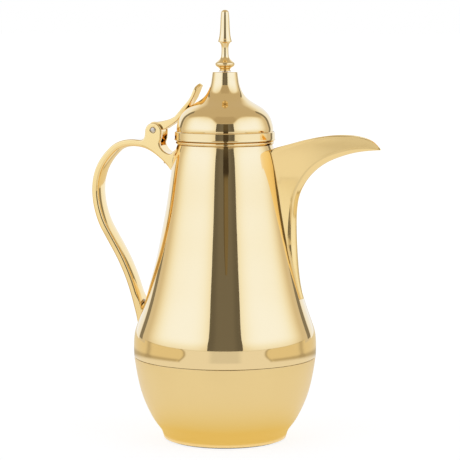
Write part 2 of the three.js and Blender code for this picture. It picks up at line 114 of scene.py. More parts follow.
def fillet(a, b, c, radius, steps=5):
    """Points of a round of that radius in the corner a-b-c."""
    a, b, c = (np.asarray(v, float) for v in (a, b, c))
    u, v = (a - b), (c - b)
    lu, lv = np.linalg.norm(u), np.linalg.norm(v)
    half = math.radians(180 - turn_at(a, b, c)) / 2
    back = min(radius / math.tan(half), 0.45 * lu, 0.45 * lv)
    start, end = b + u / lu * back, b + v / lv * back
    out = []
    for k in range(steps + 1):
        t = k / steps
        out.append(tuple((1 - t)**2 * start + 2 * t * (1 - t) * b + t**2 * end))
    return out


def refine(chain, closed, corner, radius, step):
    """A coarse outline made fine: smooth curves between its corners, and each corner rounded.

    A corner is a bend by more than that many degrees."""
    n = len(chain)
    inner = range(n) if closed else range(1, n - 1)
    corners = [i for i in inner if turn_at(chain[i - 1], chain[i], chain[(i + 1) % n]) > corner]
    if closed and corners:
        chain = chain[corners[0]:] + chain[:corners[0]] + [chain[corners[0]]]
        corners = [i - corners[0] for i in corners] + [n]
    stops = sorted(set([0] + corners + [len(chain) - 1]))
    runs = [spline(chain[start:end + 1], step) for start, end in zip(stops, stops[1:])]
    out = []
    for k, run in enumerate(runs):
        follower = runs[(k + 1) % len(runs)]
        out += run[(1 if (k or closed) else 0):-1]
        if k + 1 < len(runs) or closed:
            out += fillet(run[-2], run[-1], follower[1], radius)
        else:
            out.append(run[-1])
    return out


ON_PLANE = 2e-6               # a point this near a cutting plane lies on it
STRAIGHT = 0.4                # degrees; a smaller bend is only the curve's own facet


def cut_mesh(node, planes):
    """The CAD node's mesh without what lies behind each plane, given as a point, a normal and a tolerance."""
    bm = bmesh.new()
    bm.from_mesh(NODES[node].data)
    bmesh.ops.remove_doubles(bm, verts=bm.verts, dist=1e-6)
    for point, normal, near in planes:
        geometry = bm.verts[:] + bm.edges[:] + bm.faces[:]
        bmesh.ops.bisect_plane(bm, geom=geometry, dist=near, clear_inner=True,
                               plane_co=point, plane_no=normal)
    return bm


def neighbours(edges):
    """Each point of the edges with the points that it is joined to."""
    links = {}
    for e in edges:
        a, b = e.verts
        links.setdefault(a, []).append(b)
        links.setdefault(b, []).append(a)
    return links


def section(node):
    """The CAD node's outline in the half plane x = 0, y > 0, as (radius, height) points, and if it closes."""
    bm = cut_mesh(node, [((0, 0, 0), (0, 1, 0), 1e-6), ((0, 0, 0), (1, 0, 0), 1e-6)])
    cut_edges = [e for e in bm.edges if all(abs(v.co.x) < ON_PLANE for v in e.verts)]
    links = neighbours(e for e in cut_edges if not all(abs(v.co.y) < ON_PLANE for v in e.verts))
    ends = [v for v, near in links.items() if len(near) == 1]
    start = min(ends or links, key=lambda v: v.co.z)
    chain, last, here = [start], None, start
    while True:
        options = [v for v in links[here] if v is not last]
        if not options or options[0] is start:
            break
        last, here = here, options[0]
        chain.append(here)
    points = [(max(0.0, v.co.y), v.co.z) for v in chain]
    bm.free()
    closed = not ends
    keep = []
    for i, p in enumerate(points):
        end = not closed and i in (0, len(points) - 1)
        if end or turn_at(points[i - 1], p, points[(i + 1) % len(points)]) > STRAIGHT:
            keep.append(p)
    return keep, closed


def ramp(x, a, b):
    """A smooth step from 0 at a to 1 at b."""
    t = min(1.0, max(0.0, (x - a) / (b - a)))
    return t * t * (3 - 2 * t)


# ---------------------------------------------------------------- meshes
def make(name, vertices, faces, smooth=True):
    """A new object with that mesh, its doubled points joined and its faces turned outwards."""
    mesh = bpy.data.meshes.new(name)
    mesh.from_pydata([tuple(v) for v in vertices], [], [tuple(f) for f in faces])
    bm = bmesh.new()
    bm.from_mesh(mesh)
    bmesh.ops.remove_doubles(bm, verts=bm.verts, dist=1e-7)
    bmesh.ops.recalc_face_normals(bm, faces=bm.faces)
    bm.to_mesh(mesh)
    bm.free()
    for polygon in mesh.polygons:
        polygon.use_smooth = smooth
    piece = bpy.data.objects.new(name, mesh)
    bpy.context.scene.collection.objects.link(piece)
    return piece


def turned(name, outline, closed, segments):
    """Turns (radius, height) points about Z."""
    angles = [2 * math.pi * k / segments for k in range(segments)]
    vertices, rows = [], []
    for r, z in outline:
        if r < 1e-7:
            rows.append([len(vertices)] * segments)
            vertices.append((0, 0, z))
        else:
            rows.append(list(range(len(vertices), len(vertices) + segments)))
            vertices += [(r * math.cos(a), r * math.sin(a), z) for a in angles]
    faces = []
    pairs = list(zip(rows, rows[1:])) + ([(rows[-1], rows[0])] if closed else [])
    for low, high in pairs:
        for k in range(segments):
            j = (k + 1) % segments
            face = [low[k], low[j], high[j], high[k]]
            face = [v for i, v in enumerate(face) if v not in face[:i]]
            if len(face) > 2:
                faces.append(face)
    return make(name, vertices, faces)


def weighted(piece):
    """Keeps flat faces flat beside their small rounds."""
    modifier = piece.modifiers.new("weighted", "WEIGHTED_NORMAL")
    modifier.weight = 80
    modifier.keep_sharp = True
    return piece


def cut(piece, tool, operation="DIFFERENCE"):
    """The piece without the tool's shape, or joined with it, and the tool removed."""
    modifier = piece.modifiers.new("cut", "BOOLEAN")
    modifier.object = tool
    modifier.operation = operation
    modifier.solver = "EXACT"
    apply_modifiers(piece)
    bpy.data.objects.remove(tool)
    return piece


def apply_modifiers(piece):
    """Makes the piece's mesh what its modifiers show, and clears them."""
    graph = bpy.context.evaluated_depsgraph_get()
    graph.update()
    mesh = bpy.data.meshes.new_from_object(piece.evaluated_get(graph))
    piece.modifiers.clear()
    old = piece.data
    piece.data = mesh
    bpy.data.meshes.remove(old)
    return piece


def block(name, low, high):
    """A box between two corners."""
    (x0, y0, z0), (x1, y1, z1) = low, high
    corners = [(x, y, z) for x in (x0, x1) for y in (y0, y1) for z in (z0, z1)]
    faces = [(0, 1, 3, 2), (4, 6, 7, 5), (0, 4, 5, 1), (2, 3, 7, 6), (0, 2, 6, 4), (1, 5, 7, 3)]
    return make(name, corners, faces, smooth=False)


def stand_for(piece, node):
    """The piece takes the place and body of its CAD node, and the node is hidden."""
    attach(piece, BODY_OF[node])
    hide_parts(node)


def fine_turned(node, segments=128, corner=30, radius=0.25 * MM, step=1.2 * MM):
    """A turned CAD node again, with a smoother outline, rounded corners and more segments."""
    chain, closed = section(node)
    outline = refine(chain, closed, corner, radius, step)
    return weighted(turned(node + "_fine", outline, closed, segments))


# ---------------------------------------------------------------- turned pieces
BODY_SEGMENTS = 256
# Corners of the opening behind the spout, in millimetres.
POUR_WINDOW = ((30, -5.9, 201.7 + DATUM), (44, 5.9, 213.9 + DATUM))
upper = fine_turned("upper_shell", BODY_SEGMENTS, radius=0.55 * MM, step=1.0 * MM)
upper.modifiers.clear()       # the window is cut before the normals are weighted
cut(upper, block("pour_window", *([v * MM for v in corner] for corner in POUR_WINDOW)))
weighted(upper)
lower = fine_turned("lower_shell", BODY_SEGMENTS, radius=0.6 * MM, step=1.0 * MM)
dome = fine_turned("lid_dome", BODY_SEGMENTS, radius=0.3 * MM, step=0.8 * MM)
band = fine_turned("lid_band", BODY_SEGMENTS, corner=4, radius=0.25 * MM, step=0.8 * MM)
bead = fine_turned("neck_bead", BODY_SEGMENTS, corner=50, radius=0.2 * MM, step=0.25 * MM)
finial = fine_turned("finial", 96, corner=46, radius=0.35 * MM, step=0.4 * MM)
SEGMENTS = {
    "base_pad": 160, "stopper_plug": 128, "stopper_seal": 128, "seal_retainer": 96, "stopper_nut": 48,
    "collar_gasket": 96, "liner_inner_flask": 128, "liner_outer_flask": 96, "base_plate": 96,
    "coupling_ring": 128, "seam_seal": 128, "liner_cushion": 96,
}
for name, segments in SEGMENTS.items():
    stand_for(fine_turned(name, segments, radius=0.3 * MM), name)

# The upper shell's outer line, from its lower edge to its top.
shell_outline, _ = section("upper_shell")
top_index = max(range(len(shell_outline)), key=lambda i: shell_outline[i][1])
body_line = spline(sorted(shell_outline[:top_index + 1], key=lambda p: p[1]), 1 * MM)
BODY_RADII, BODY_HEIGHTS = zip(*body_line)
GAP = 0.3 * MM                # between the shell and what is fixed to it


def body_radius(z):
    """Outer radius of the upper shell at a height."""
    return float(np.interp(z, BODY_HEIGHTS, BODY_RADII))


def body_form():
    """The upper shell as a solid grown by the gap, for trimming what is fixed to it."""
    low, high = BODY_HEIGHTS[0], BODY_HEIGHTS[-1]
    rows = [(0, low)] + [(r + GAP, z) for r, z in body_line] + [(0, high)]
    return turned("form", rows, False, BODY_SEGMENTS)


# ---------------------------------------------------------------- spout
# Keel x and z, rim x and z, and half the width, from the tail's lower end to the beak's tip. Lengths are in
# millimetres from here to the spout's loft.
SPOUT = [
    (61.2, 104, 53, 103, 2.4), (59.0, 114, 48, 113, 3.9), (57.5, 125, 45, 124, 5.2),
    (56.3, 141, 42, 142, 6.3), (55.7, 157, 38, 160, 6.9), (55.9, 169, 36, 177, 7.2),
    (57.6, 181, 34, 195, 7.4), (62.2, 191.0, 34, 212.2, 7.5), (69.0, 199.3, 47.5, 219.0, 7.4),
    (78.5, 206.3, 62, 223.0, 7.0), (90, 211.2, 78, 226.0, 6.2), (102, 214.4, 95, 226.8, 4.8),
    (111, 215.6, 107.5, 224.8, 3.2), (116, 216.0, 114.6, 221.3, 2.0), (119.2, 216.2, 119.0, 217.0, 0.7),
]
BEAK_STARTS = 7               # the row from which the rim is the beak's own edge
# The channel's floor, x and z, from inside the shell to past the tip.
FLOOR = [(30, 201.7), (50, 201.7), (62, 202.2), (70, 204.2), (78.5, 208.4), (90, 213.1), (102, 216.2),
         (111, 217.4), (116, 217.8), (122, 218.0)]
SPOUT = [(kx, kz + DATUM, rx, rz + DATUM, half) for kx, kz, rx, rz, half in SPOUT]
FLOOR = [(x, z + DATUM) for x, z in FLOOR]
WALL = 1.6                    # thickness of the spout's wall
WALL_THINS = 40               # and the stretch before the tip over which it thins
LEAST_WALL = 0.12
LEAST_HOLLOW = 0.45           # half the channel's least width
CHANNEL_HALF = 5.9
STATIONS = 200
LEAN = 0.07                   # how far the beak's walls close in per unit of height, going down
RIM_TOP = 226.5               # above DATUM, as is the throat
THROAT = (185, 200)           # between these heights the walls' closing in slows to nothing
TAIL_OPENS = 60               # and below them they open out again over this height
LIP_ANGLES = np.linspace(0, math.pi, 8)[1:-1]
LIP_DEPTH = 0.6               # the most that a lip's round takes off its height
FLOOR_X, FLOOR_Z = np.array(spline(FLOOR, 1)).T
RIM_X, RIM_HALF = np.array(spline([(row[2], row[4]) for row in SPOUT[BEAK_STARTS:]], 0.5)).T


def wall_inset(z):
    """How far the spout's walls have closed in at a height: most at the throat, not at all at the rim."""
    z = z - DATUM
    low, high = THROAT
    if z > high:
        return LEAN * max(0.0, RIM_TOP - z)
    depth = high - low
    if z > low:
        return LEAN * (RIM_TOP - high + (depth**2 - (z - low)**2) / (2 * depth))
    most = RIM_TOP - high + depth / 2
    return LEAN * most / 2 * (1 + math.cos(math.pi * min(1, (low - z) / TAIL_OPENS)))


def u_path(top, bottom, half, width, count):
    """Points (y, depth) of a U from one side's top to the other's; width(depth) is half its width."""
    depth = max(bottom - top, 1e-4)
    least = 0.35 * half
    bend = min(max(width(bottom - 0.5 * half), least), 0.8 * depth)
    foot = max(width(bottom - bend), least)
    side = count // 4
    depths = [top + (depth - bend) * k / side for k in range(side)]
    wall = [(max(width(d), least), d) for d in depths]
    turns = count - 2 * side
    points = [(-y, d) for y, d in wall]
    for k in range(turns + 1):
        angle = -math.pi / 2 + math.pi * k / turns
        points.append((foot * math.sin(angle), bottom - bend + bend * math.cos(angle)))
    return points + wall[::-1]


def spout_section(row):
    """A station of the spout as a closed loop: the outer U, a round lip, the channel's U, the other lip."""
    keel, rim, half = np.array(row[:2]), np.array(row[2:4]), row[4]
    length = np.linalg.norm(keel - rim)

    def at(y, d):
        """The place at a depth below the rim."""
        x, z = rim + (keel - rim) * d / length
        return x, y, z

    def width(d):
        x, _, z = at(0, d)
        return min(half, float(np.interp(x, RIM_X, RIM_HALF))) - wall_inset(z)

    def inside_body(d):
        x, y, z = at(half, d)
        if z * MM > BODY_HEIGHTS[-1] + 0.002:
            return False
        return math.hypot(x, y) * MM < body_radius(z * MM) - GAP and x > 0

    # the section starts where it comes out of the shell
    start = 0.0
    if inside_body(0):
        low, high = 0.0, length
        for _ in range(40):
            middle = (low + high) / 2
            low, high = (middle, high) if inside_body(middle) else (low, middle)
        start = high
    # and its hollow ends at the channel's floor
    depths = np.linspace(start, length, 400)
    line = np.array([at(0, d) for d in depths])
    above = line[:, 2] > np.interp(line[:, 0], FLOOR_X, FLOOR_Z)
    floor = depths[above][-1] if above.any() and above[0] else start
    floor = min(floor, length - 0.25)
    thins = min(1, max(0, (SPOUT[-1][0] + 5 - keel[0]) / WALL_THINS))
    wall = max(min(WALL * thins, half - LEAST_HOLLOW), LEAST_WALL)

    def hollow_width(d):
        return max(min(width(d) - wall, CHANNEL_HALF - wall_inset(at(0, d)[2])), 0.3 * half)

    outer = u_path(start, length, half, width, 48)
    hollow = u_path(start, max(floor, start), 0.8 * half, hollow_width, 32)
    lip = (outer[-1][0] - hollow[-1][0]) / 2
    depth = min(lip, max(floor - start, 0) * 0.5, LIP_DEPTH)
    middle = outer[-1][0] - lip

    def below_lip(points):
        return [at(y, max(d, start + depth)) for y, d in points]

    def lip_round(y):
        return [at(y + lip * math.cos(a), start + depth - depth * math.sin(a)) for a in LIP_ANGLES]

    loop = below_lip(outer) + lip_round(middle) + below_lip(reversed(hollow)) + lip_round(-middle)
    return [(x * MM, y * MM, z * MM) for x, y, z in loop]


def loft(name, loops):
    """A skin over closed loops of equal length, with both ends closed."""
    vertices = [p for loop in loops for p in loop]
    n = len(loops[0])
    faces = []
    for s in range(len(loops) - 1):
        for i in range(n):
            j = (i + 1) % n
            faces.append((s * n + i, s * n + j, (s + 1) * n + j, (s + 1) * n + i))
    faces += [tuple(range(n)), tuple((len(loops) - 1) * n + i for i in range(n))]
    return make(name, vertices, faces)


def build_spout():
    """The spout, lofted through stations along one smooth curve through the table's rows."""
    rows = np.array(SPOUT)
    curve, end = natural_cubic(rows, gaps(rows[:, :2]))
    return weighted(loft("spout_fine", [spout_section(row) for row in curve(np.linspace(0, end, STATIONS))]))


spout = build_spout()


# ---------------------------------------------------------------- handle
def longest_side_loop(node, y):
    """The longest closed (x, z) outline of a node cut by the plane at that y."""
    bm = cut_mesh(node, [((0, y, 0), (0, 1, 0), 1e-7)])
    rim = [e for e in bm.edges if len(e.link_faces) < 2]
    links = neighbours(e for e in rim if all(abs(v.co.y - y) < ON_PLANE for v in e.verts))
    loops, seen = [], set()
    for first in links:
        if first in seen:
            continue
        chain, last, here = [], None, first
        while here not in seen:
            seen.add(here)
            chain.append((here.co.x, here.co.z))
            options = [v for v in links[here] if v is not last and v not in seen]
            last = here
            here = options[0] if options else here
        loops.append([p for i, p in enumerate(chain)
                      if turn_at(chain[i - 1], p, chain[(i + 1) % len(chain)]) > STRAIGHT])
    bm.free()
    return max(loops, key=len)


def slab(name, outline, y0, y1):
    """A plate between y0 and y1 with its (x, z) outline."""
    n = len(outline)
    vertices = [(x, y0, z) for x, z in outline] + [(x, y1, z) for x, z in outline]
    faces = [tuple(range(n)), tuple(range(n, 2 * n))]
    faces += [(i, (i + 1) % n, n + (i + 1) % n, n + i) for i in range(n)]
    return make(name, vertices, faces)


def pin_place():
    """The hinge pin's axis (x and z), radius and outer end."""
    low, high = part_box("hinge_pin")
    return (low[0] + high[0]) / 2, (low[2] + high[2]) / 2, (high[0] - low[0]) / 2, high[1]


PIN_X, PIN_Z, PIN_RADIUS, PIN_END = pin_place()


def around_pin(radius, start, end, count):
    """Points (x, z) of an arc about the pin, between two angles in degrees."""
    angles = [math.radians(t) for t in np.linspace(start, end, count)]
    return [(PIN_X + radius * math.cos(a), PIN_Z + radius * math.sin(a)) for a in angles]


def pin_hole():
    """A long round bar, a gap wider all round than the pin."""
    return slab("pin_hole", around_pin(PIN_RADIUS + GAP, 0, 360, 65)[:-1], -20 * MM, 20 * MM)


def bevel(piece, width, segments, angle):
    """Rounds the edges that bend by more than that many degrees."""
    modifier = piece.modifiers.new("bevel", "BEVEL")
    modifier.width = width
    modifier.segments = segments
    modifier.limit_method = "ANGLE"
    modifier.angle_limit = math.radians(angle)
    return apply_modifiers(piece)


def tidy_outline(outline, least):
    """The outline without points that crowd together."""
    kept = []
    for p in outline:
        if not kept or math.dist(p, kept[-1]) > least:
            kept.append(p)
    if math.dist(kept[0], kept[-1]) < least:
        kept.pop()
    return kept


# The slot between the hinge ears, x and z in millimetres: its raised floor behind the pin stops the lid.
SLOT = [(-72, 245), (-72, 225.6), (-58.3, 225.6), (-58.3, 221.4), (-56, 220.4), (-48.6, 217.4),
        (-43.4, 212.6), (-38.6, 212.2), (-30, 212.6), (-30, 245)]
SLOT = [(x, z + DATUM) for x, z in SLOT]
SLOT_HALF = 6 * MM
EDGE_ROUND = 1.1 * MM         # rounding of the handle's edges
GRIP_ROUND = 2.3 * MM         # and of the strap's inner edges, where the fingers lie
GRIP_CROWN = 1.0 * MM         # how far the strap's inner face is crowned
GRIP_MIDDLE = (-0.066, 0.172)   # the middle of the opening that the hand goes through
GRIP_TOP = 0.2218             # the extra rounding stays below this height
GRIP_NEAR = (0.048, 0.066)    # distances from the axis between which the extra rounding sets in
GRIP_LOW = (0.103, 0.110)     # and heights
HANDLE_CORNER = 34            # degrees


def outward_of(points):
    """The unit direction away from a closed outline's inside, at each of its points."""
    after, before = np.roll(points, -1, axis=0), np.roll(points, 1, axis=0)
    along = after - before
    along /= np.linalg.norm(along, axis=1)[:, None] + 1e-12
    area = np.sum(points[:, 0] * after[:, 1] - after[:, 0] * points[:, 1])
    return np.stack([along[:, 1], -along[:, 0]], axis=1) * (1 if area > 0 else -1)


def thickness(points):
    """How far it is straight across the inside of a closed outline from each of its points."""
    out = outward_of(points)
    a, b = points, np.roll(points, -1, axis=0)
    edge = b - a
    result = []
    for p, n in zip(points, out):
        d = -n
        cross = d[0] * edge[:, 1] - d[1] * edge[:, 0]
        cross[np.abs(cross) < 1e-15] = 1e-15
        w = a - p
        t = (w[:, 0] * edge[:, 1] - w[:, 1] * edge[:, 0]) / cross
        u = (w[:, 0] * d[1] - w[:, 1] * d[0]) / cross
        hits = t[(t > 0.15 * MM) & (u >= 0) & (u <= 1)]
        result.append(hits.min() if len(hits) else 1.0)
    return np.array(result)


def bend_radius(points):
    """Radius of the outline at each point where it bulges outwards, and a large number elsewhere."""
    out = outward_of(points)
    gap = np.linalg.norm(np.roll(points, -1, axis=0) - np.roll(points, 1, axis=0), axis=1)
    turn = np.sum((np.roll(out, -1, axis=0) - np.roll(out, 1, axis=0))
                  * (np.roll(points, -1, axis=0) - np.roll(points, 1, axis=0)), axis=1) / gap
    return np.where(turn > 1e-4, gap / np.maximum(turn, 1e-4), 1.0)


def soften(values, times):
    """Values round a closed outline, each drawn towards its neighbours."""
    for _ in range(times):
        values = (np.roll(values, 1) + 2 * values + np.roll(values, -1)) / 4
    return values


def pillow(name, outline, half, rounding, crown, steps=7, layers=9):
    """A plate whose (x, z) outline draws in towards its two sides, as rounded as each point says."""
    points = np.array(outline)
    outward = outward_of(points)
    rounding, crown = np.array(rounding)[:, None], np.array(crown)[:, None]
    shares = [("flat", k / layers) for k in range(layers)] + [("arc", k / steps) for k in range(steps + 1)]
    rows = []
    for kind, t in shares:
        flat_half = half - rounding[:, 0]
        if kind == "flat":
            y = flat_half * t
            inset = crown[:, 0] * (y / half)**2
        else:
            angle = math.pi / 2 * t
            y = flat_half + rounding[:, 0] * math.sin(angle)
            inset = crown[:, 0] * (flat_half / half)**2 + rounding[:, 0] * (1 - math.cos(angle))
        rows.append((y, points - outward * inset[:, None]))
    n = len(points)
    vertices = []
    order = [(-y, p) for y, p in reversed(rows[1:])] + rows
    for y, p in order:
        vertices += [(x, yy, z) for (x, z), yy in zip(p, y)]
    faces = [tuple(range(n)), tuple((len(order) - 1) * n + i for i in range(n))]
    for k in range(len(order) - 1):
        for i in range(n):
            j = (i + 1) % n
            faces.append((k * n + i, k * n + j, (k + 1) * n + j, (k + 1) * n + i))
    return make(name, vertices, faces)


def build_handle():
    """The CAD handle's side outline made fine and round, trimmed to the shell and slotted for the lever."""
    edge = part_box("handle")[1][1]
    probe = edge - 0.05 * MM
    outline = tidy_outline(longest_side_loop("handle", probe), 0.35 * MM)
    # the ends go a little into the shell, so that trimming leaves them flush with it
    into_body = []
    for x, z in outline:
        touching = abs(math.hypot(x, probe) - body_radius(z) - GAP) < 0.25 * MM
        into_body.append((x + 1.6 * MM if touching else x, z))
    fine = np.array(refine(into_body, True, HANDLE_CORNER, 0.5 * MM, 0.7 * MM))
    # the side that faces the hand is rounded more, less so near the shell and the foot
    towards = [np.dot(n, GRIP_MIDDLE - p) for p, n in zip(fine, outward_of(fine))]
    grip = np.array([float(t > 0 and z < GRIP_TOP) for t, (_, z) in zip(towards, fine)])
    grip *= [ramp(-x, *GRIP_NEAR) * ramp(z, *GRIP_LOW) for x, z in fine]
    grip = soften(grip, 6)
    # no more than the strap's thickness and its own bends leave room for
    room = np.minimum(0.38 * thickness(fine), 0.75 * bend_radius(fine))
    room = np.min([np.roll(room, k) for k in range(-3, 4)], axis=0)
    rounding = np.minimum(EDGE_ROUND + (GRIP_ROUND - EDGE_ROUND) * grip, room)
    for _ in range(8):
        rounding = np.minimum(soften(rounding, 1), room)
    fine[:, 0] = np.maximum(fine[:, 0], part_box("handle")[0][0])
    piece = pillow("handle_fine", fine, edge, rounding, GRIP_CROWN * grip)
    cut(piece, body_form())
    slot_line = refine([(x * MM, z * MM) for x, z in SLOT], True, HANDLE_CORNER, 0.6 * MM, 0.8 * MM)
    cut(piece, slab("slot", slot_line, -SLOT_HALF, SLOT_HALF))
    cut(piece, pin_hole())
    return weighted(piece)


handle = build_handle()


def build_pin():
    """The pin, turned about Z with a domed head at each end, then laid along Y."""
    head = [(PIN_RADIUS, PIN_END - 0.75 * MM), (0.93 * PIN_RADIUS, PIN_END - 0.42 * MM),
            (0.76 * PIN_RADIUS, PIN_END - 0.2 * MM), (0.5 * PIN_RADIUS, PIN_END - 0.07 * MM), (0, PIN_END)]
    side = spline(head, 0.15 * MM)
    piece = turned("hinge_pin_fine", [(r, -y) for r, y in reversed(side)] + side, False, 48)
    for v in piece.data.vertices:
        v.co = (v.co.x + PIN_X, -v.co.z, v.co.y + PIN_Z)
    return piece


pin = build_pin()

# ---------------------------------------------------------------- thumb lever
# The plate's upper line and lower line seen from the side, and half its width, in millimetres.
LEVER = [
    ((-52, 234.9), (-50.5, 228.4), 5.7), ((-45.3, 236.3), (-45.3, 229.9), 5.7),
    ((-41.5, 237.5), (-41, 232.7), 5.7), ((-37.9, 239.3), (-36.1, 236.0), 5.7),
    ((-34.7, 242.9), (-32.2, 240.6), 5.95), ((-31.7, 246.3), (-29.4, 244.6), 6.4),
    ((-27.6, 250.8), (-25.4, 249.5), 6.9), ((-25.0, 254.6), (-22.9, 253.4), 7.0),
    ((-23.4, 258.4), (-21.2, 257.3), 7.0), ((-21.8, 261.6), (-19.7, 260.5), 7.0),
    ((-19.4, 264.4), (-17.6, 263.1), 7.0),
]
LEVER = [((tx, tz + DATUM), (lx, lz + DATUM), half) for (tx, tz), (lx, lz), half in LEVER]
LEVER_BEND = 3                # the row where the upper line has a corner and the plate turns up to the thumb
TIP_ROUND = 7                 # the plate's end is rounded over this length
BARREL_HALF = 5.7 * MM


def rounded_section(top, low, half, radius, steps=5):
    """A rounded rectangle between two points of the side view."""
    top, low = np.array(top), np.array(low)
    depth = np.linalg.norm(top - low)
    r = min(radius, 0.49 * depth, 0.98 * half)
    down = (low - top) / depth
    corners = [(half - r, r), (-half + r, r), (-half + r, depth - r), (half - r, depth - r)]
    loop = []
    for quarter, (cy, cd) in enumerate(corners):
        for k in range(steps + 1):
            a = math.pi / 2 * (quarter + k / steps)
            x, z = top + down * (cd - r * math.sin(a))
            loop.append((x * MM, (cy + r * math.cos(a)) * MM, z * MM))
    return loop


def build_lever():
    """The plate, lofted along its upper line and joined with the barrel that turns on the pin."""
    tops = [row[0] for row in LEVER]
    lows = np.array([row[1] for row in LEVER])
    halves = [row[2] for row in LEVER]
    upper_line = np.array(spline(tops[:LEVER_BEND + 1], 0.6)[:-1] + spline(tops[LEVER_BEND:], 0.6))
    run = np.concatenate([[0], np.cumsum(gaps(upper_line))])
    marks = [run[int(np.argmin(np.linalg.norm(upper_line - top, axis=1)))] for top in tops]
    flat = run[-1] - TIP_ROUND
    stations = list(np.linspace(0, flat, 70))
    stations += [flat + TIP_ROUND * math.sin(math.pi / 2 * k / 24) for k in range(1, 25)]
    loops = []
    for s in stations:
        p = [np.interp(s, run, upper_line[:, k]) for k in (0, 1)]
        q = [np.interp(s, marks, lows[:, k]) for k in (0, 1)]
        half = float(np.interp(s, marks, halves))
        left = run[-1] - s
        if left < TIP_ROUND:
            half = max(0.35, half * math.sqrt(max(0.0, 1 - (1 - left / TIP_ROUND)**2)))
        loops.append(rounded_section(p, q, half, 0.7))
    piece = loft("lid_lever_fine", loops)
    # the barrel is smaller behind the pin, where it passes over the slot's raised floor
    outline = around_pin(5.1 * MM, 115, 232, 30) + around_pin(6.2 * MM, 232, 475, 64)
    cut(piece, bevel(slab("barrel", outline, -BARREL_HALF, BARREL_HALF), 0.4 * MM, 3, 60), "UNION")
    cut(piece, pin_hole())
    return weighted(piece)


lever = build_lever()

for piece, name in ((upper, "upper_shell"), (lower, "lower_shell"), (dome, "lid_dome"), (band, "lid_band"),
                    (bead, "neck_bead"), (finial, "finial"), (spout, "spout"), (handle, "handle"),
                    (pin, "hinge_pin"), (lever, "lid_lever")):
    stand_for(piece, name)


# ---------------------------------------------------------------- materials
def material(name, base, metallic, roughness, vary, bump, bump_scale):
    """A principled material whose gloss varies a little and whose surface has a fine bump."""
    m = bpy.data.materials.new(name)
    m.use_nodes = True
    nodes, links = m.node_tree.nodes, m.node_tree.links
    shader = nodes["Principled BSDF"]
    shader.inputs["Base Color"].default_value = (*base, 1)
    shader.inputs["Metallic"].default_value = metallic
    place = nodes.new("ShaderNodeTexCoord")
    cloud = nodes.new("ShaderNodeTexNoise")
    cloud.inputs["Scale"].default_value = 45
    cloud.inputs["Detail"].default_value = 5
    links.new(place.outputs["Object"], cloud.inputs["Vector"])
    spread = nodes.new("ShaderNodeMapRange")
    spread.inputs["From Min"].default_value = 0.3
    spread.inputs["From Max"].default_value = 0.7
    spread.inputs["To Min"].default_value = roughness - vary
    spread.inputs["To Max"].default_value = roughness + vary
    links.new(cloud.outputs["Fac"], spread.inputs["Value"])
    links.new(spread.outputs["Result"], shader.inputs["Roughness"])
    grain = nodes.new("ShaderNodeTexNoise")
    grain.inputs["Scale"].default_value = bump_scale
    grain.inputs["Detail"].default_value = 3
    links.new(place.outputs["Object"], grain.inputs["Vector"])
    relief = nodes.new("ShaderNodeBump")
    relief.inputs["Strength"].default_value = bump
    relief.inputs["Distance"].default_value = 0.0002
    links.new(grain.outputs["Fac"], relief.inputs["Height"])
    links.new(relief.outputs["Normal"], shader.inputs["Normal"])
    return m


# Colour, metal or not, roughness and how far it varies, bump and how fine it is.
MATERIALS = {
    "polished_gold": material("polished_gold_fine", (0.93, 0.70, 0.345), 1, 0.045, 0.015, 0.02, 120),
    "satin_gold": material("satin_gold_fine", (0.90, 0.66, 0.285), 1, 0.36, 0.03, 0.10, 2500),
    "steel": material("steel_fine", (0.66, 0.565, 0.43), 1, 0.24, 0.06, 0.08, 900),
    "silvered_glass": material("silvered_glass_fine", (0.86, 0.87, 0.88), 1, 0.05, 0.02, 0.03, 60),
    "white_plastic": material("white_plastic_fine", (0.80, 0.79, 0.75), 0, 0.42, 0.05, 0.06, 700),
    "silicone": material("silicone_fine", (0.30, 0.285, 0.26), 0, 0.55, 0.05, 0.06, 500),
    "black_rubber": material("black_rubber_fine", (0.020, 0.020, 0.021), 0, 0.70, 0.06, 0.25, 1200),
    "foam": material("foam_fine", (0.84, 0.83, 0.79), 0, 0.90, 0.04, 0.6, 900),
}
CAST = ("spout", "handle", "lid_lever")   # cast pieces, plated in a deeper gold than the spun shells
CAST_GOLD = material("polished_gold_cast", (0.98, 0.715, 0.31), 1, 0.06, 0.015, 0.03, 120)
for node, cad in NODES.items():
    for slot in cad.material_slots:
        slot.material = MATERIALS[SLOT_OF[node]]
for piece in bpy.data.objects:
    if piece.type == "MESH" and piece.name.endswith("_fine"):
        piece.data.materials.clear()
        node = piece.name.removesuffix("_fine")
        piece.data.materials.append(CAST_GOLD if node in CAST else MATERIALS[SLOT_OF[node]])


# ---------------------------------------------------------------- studio
CAMERA_TURN = math.radians(16)    # the camera stands this far round from straight on to the pot's side
MIDDLE = 0.154                # height of the middle of the studio's domes


def light(level):
    """The studio light's colour at a strength: cool at its brightest, and warmer as it falls off."""
    return 1.07 * (1 - math.exp(-1.8 * level)), 1.45 * (1 - math.exp(-1.03 * level)), float(level)


